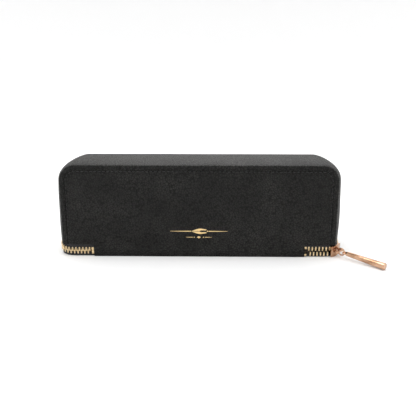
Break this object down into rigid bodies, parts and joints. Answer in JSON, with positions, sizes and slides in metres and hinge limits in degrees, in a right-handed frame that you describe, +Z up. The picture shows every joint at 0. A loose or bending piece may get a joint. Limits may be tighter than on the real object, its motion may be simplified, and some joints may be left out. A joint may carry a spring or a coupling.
{
  "type": "fountain pen case",
  "caption": "Zipped leather pen case: a deep rounded lid hinged along the front over a shallow tray with a padded bed and elastic pen loops; metal zip and bar pull.",
  "frame": {"origin": "middle of the flat underside of the tray, on the surface that the case stands on", "axes": "+X to the right along the case, +Y from the front face with the foil mark to the back, +Z up"},
  "size_m": [0.2383, 0.0773, 0.068],
  "materials": {
    "leather": "black pebble-grained leather with a soft sheen",
    "lining": "brown-grey suede-like lining",
    "stiffener": "stiffener board between leather and lining",
    "thread": "black waxed thread",
    "elastic": "black woven elastic",
    "zip_tape": "black woven zip tape",
    "zip_teeth": "polished pale gold teeth",
    "foil": "gold hot-foil stamp",
    "slider_metal": "polished rose gold casting",
    "pull_metal": "polished rose gold bar"
  },
  "bodies": {
    "tray": {"tray_cover": "leather", "tray_rim": "leather", "tray_board": "stiffener", "tray_lining": "lining", "rim_lining": "lining", "pen_pad": "lining", "pen_loops_left": "elastic", "pen_loops_right": "elastic", "hinge_leather": "leather", "hinge_lining": "lining", "lower_tape": "zip_tape", "lower_teeth": "zip_teeth", "lower_end_tape_left": "zip_tape", "lower_end_tape_right": "zip_tape", "lower_end_teeth_left": "zip_teeth", "lower_end_teeth_right": "zip_teeth", "lower_open_tape": "zip_tape", "lower_open_teeth": "zip_teeth", "lower_top_stop": "zip_teeth", "bottom_stop": "zip_teeth"},
    "lid": {"gusset": "leather", "gusset_board": "stiffener", "gusset_lining": "lining", "front_panel": "leather", "front_border": "leather", "front_seam_thread": "thread", "front_board": "stiffener", "front_lining": "lining", "back_panel": "leather", "back_border": "leather", "back_seam_thread": "thread", "back_board": "stiffener", "back_lining": "lining", "foil_mark": "foil", "upper_tape": "zip_tape", "upper_teeth": "zip_teeth", "upper_end_tape_left": "zip_tape", "upper_end_tape_right": "zip_tape", "upper_end_teeth_left": "zip_teeth", "upper_end_teeth_right": "zip_teeth", "upper_open_tape": "zip_tape", "upper_open_teeth": "zip_teeth", "upper_top_stop": "zip_teeth"},
    "slider": {"slider_body": "slider_metal", "slider_crown": "slider_metal"},
    "ring": {"pull_ring": "pull_metal"},
    "bar": {"pull_bar": "pull_metal"}
  },
  "joints": [
    {"name": "lid_hinge", "type": "hinge", "parent": "tray", "child": "lid", "pos_m": [0, -0.0249, 0.0044], "axis": [1, 0, 0], "range_deg": [0, 93.5], "deforming": ["hinge_leather", "hinge_lining", "bottom_stop", "upper_end_tape_left", "upper_end_tape_right", "upper_end_teeth_left", "upper_end_teeth_right", "upper_open_tape", "upper_open_teeth"]},
    {"name": "slider_travel", "type": "hinge", "parent": "tray", "child": "slider", "pos_m": [0.09295, -0.01282, 0.0061], "axis": [0, -0.1392, 0.9903], "range_deg": [0, 45], "deforming": ["lower_end_tape_right", "lower_end_teeth_right", "lower_open_tape", "lower_open_teeth"]},
    {"name": "ring_lift", "type": "hinge", "parent": "slider", "child": "ring", "pos_m": [0.10455, -0.0243, 0.00448], "axis": [-0.7071, -0.7002, -0.0984], "range_deg": [0, 60]},
    {"name": "bar_swing", "type": "hinge", "parent": "ring", "child": "bar", "pos_m": [0.1072, -0.02695, 0.00428], "axis": [-0.0315, -0.1078, 0.9937], "range_deg": [-10, 40]}
  ]
}
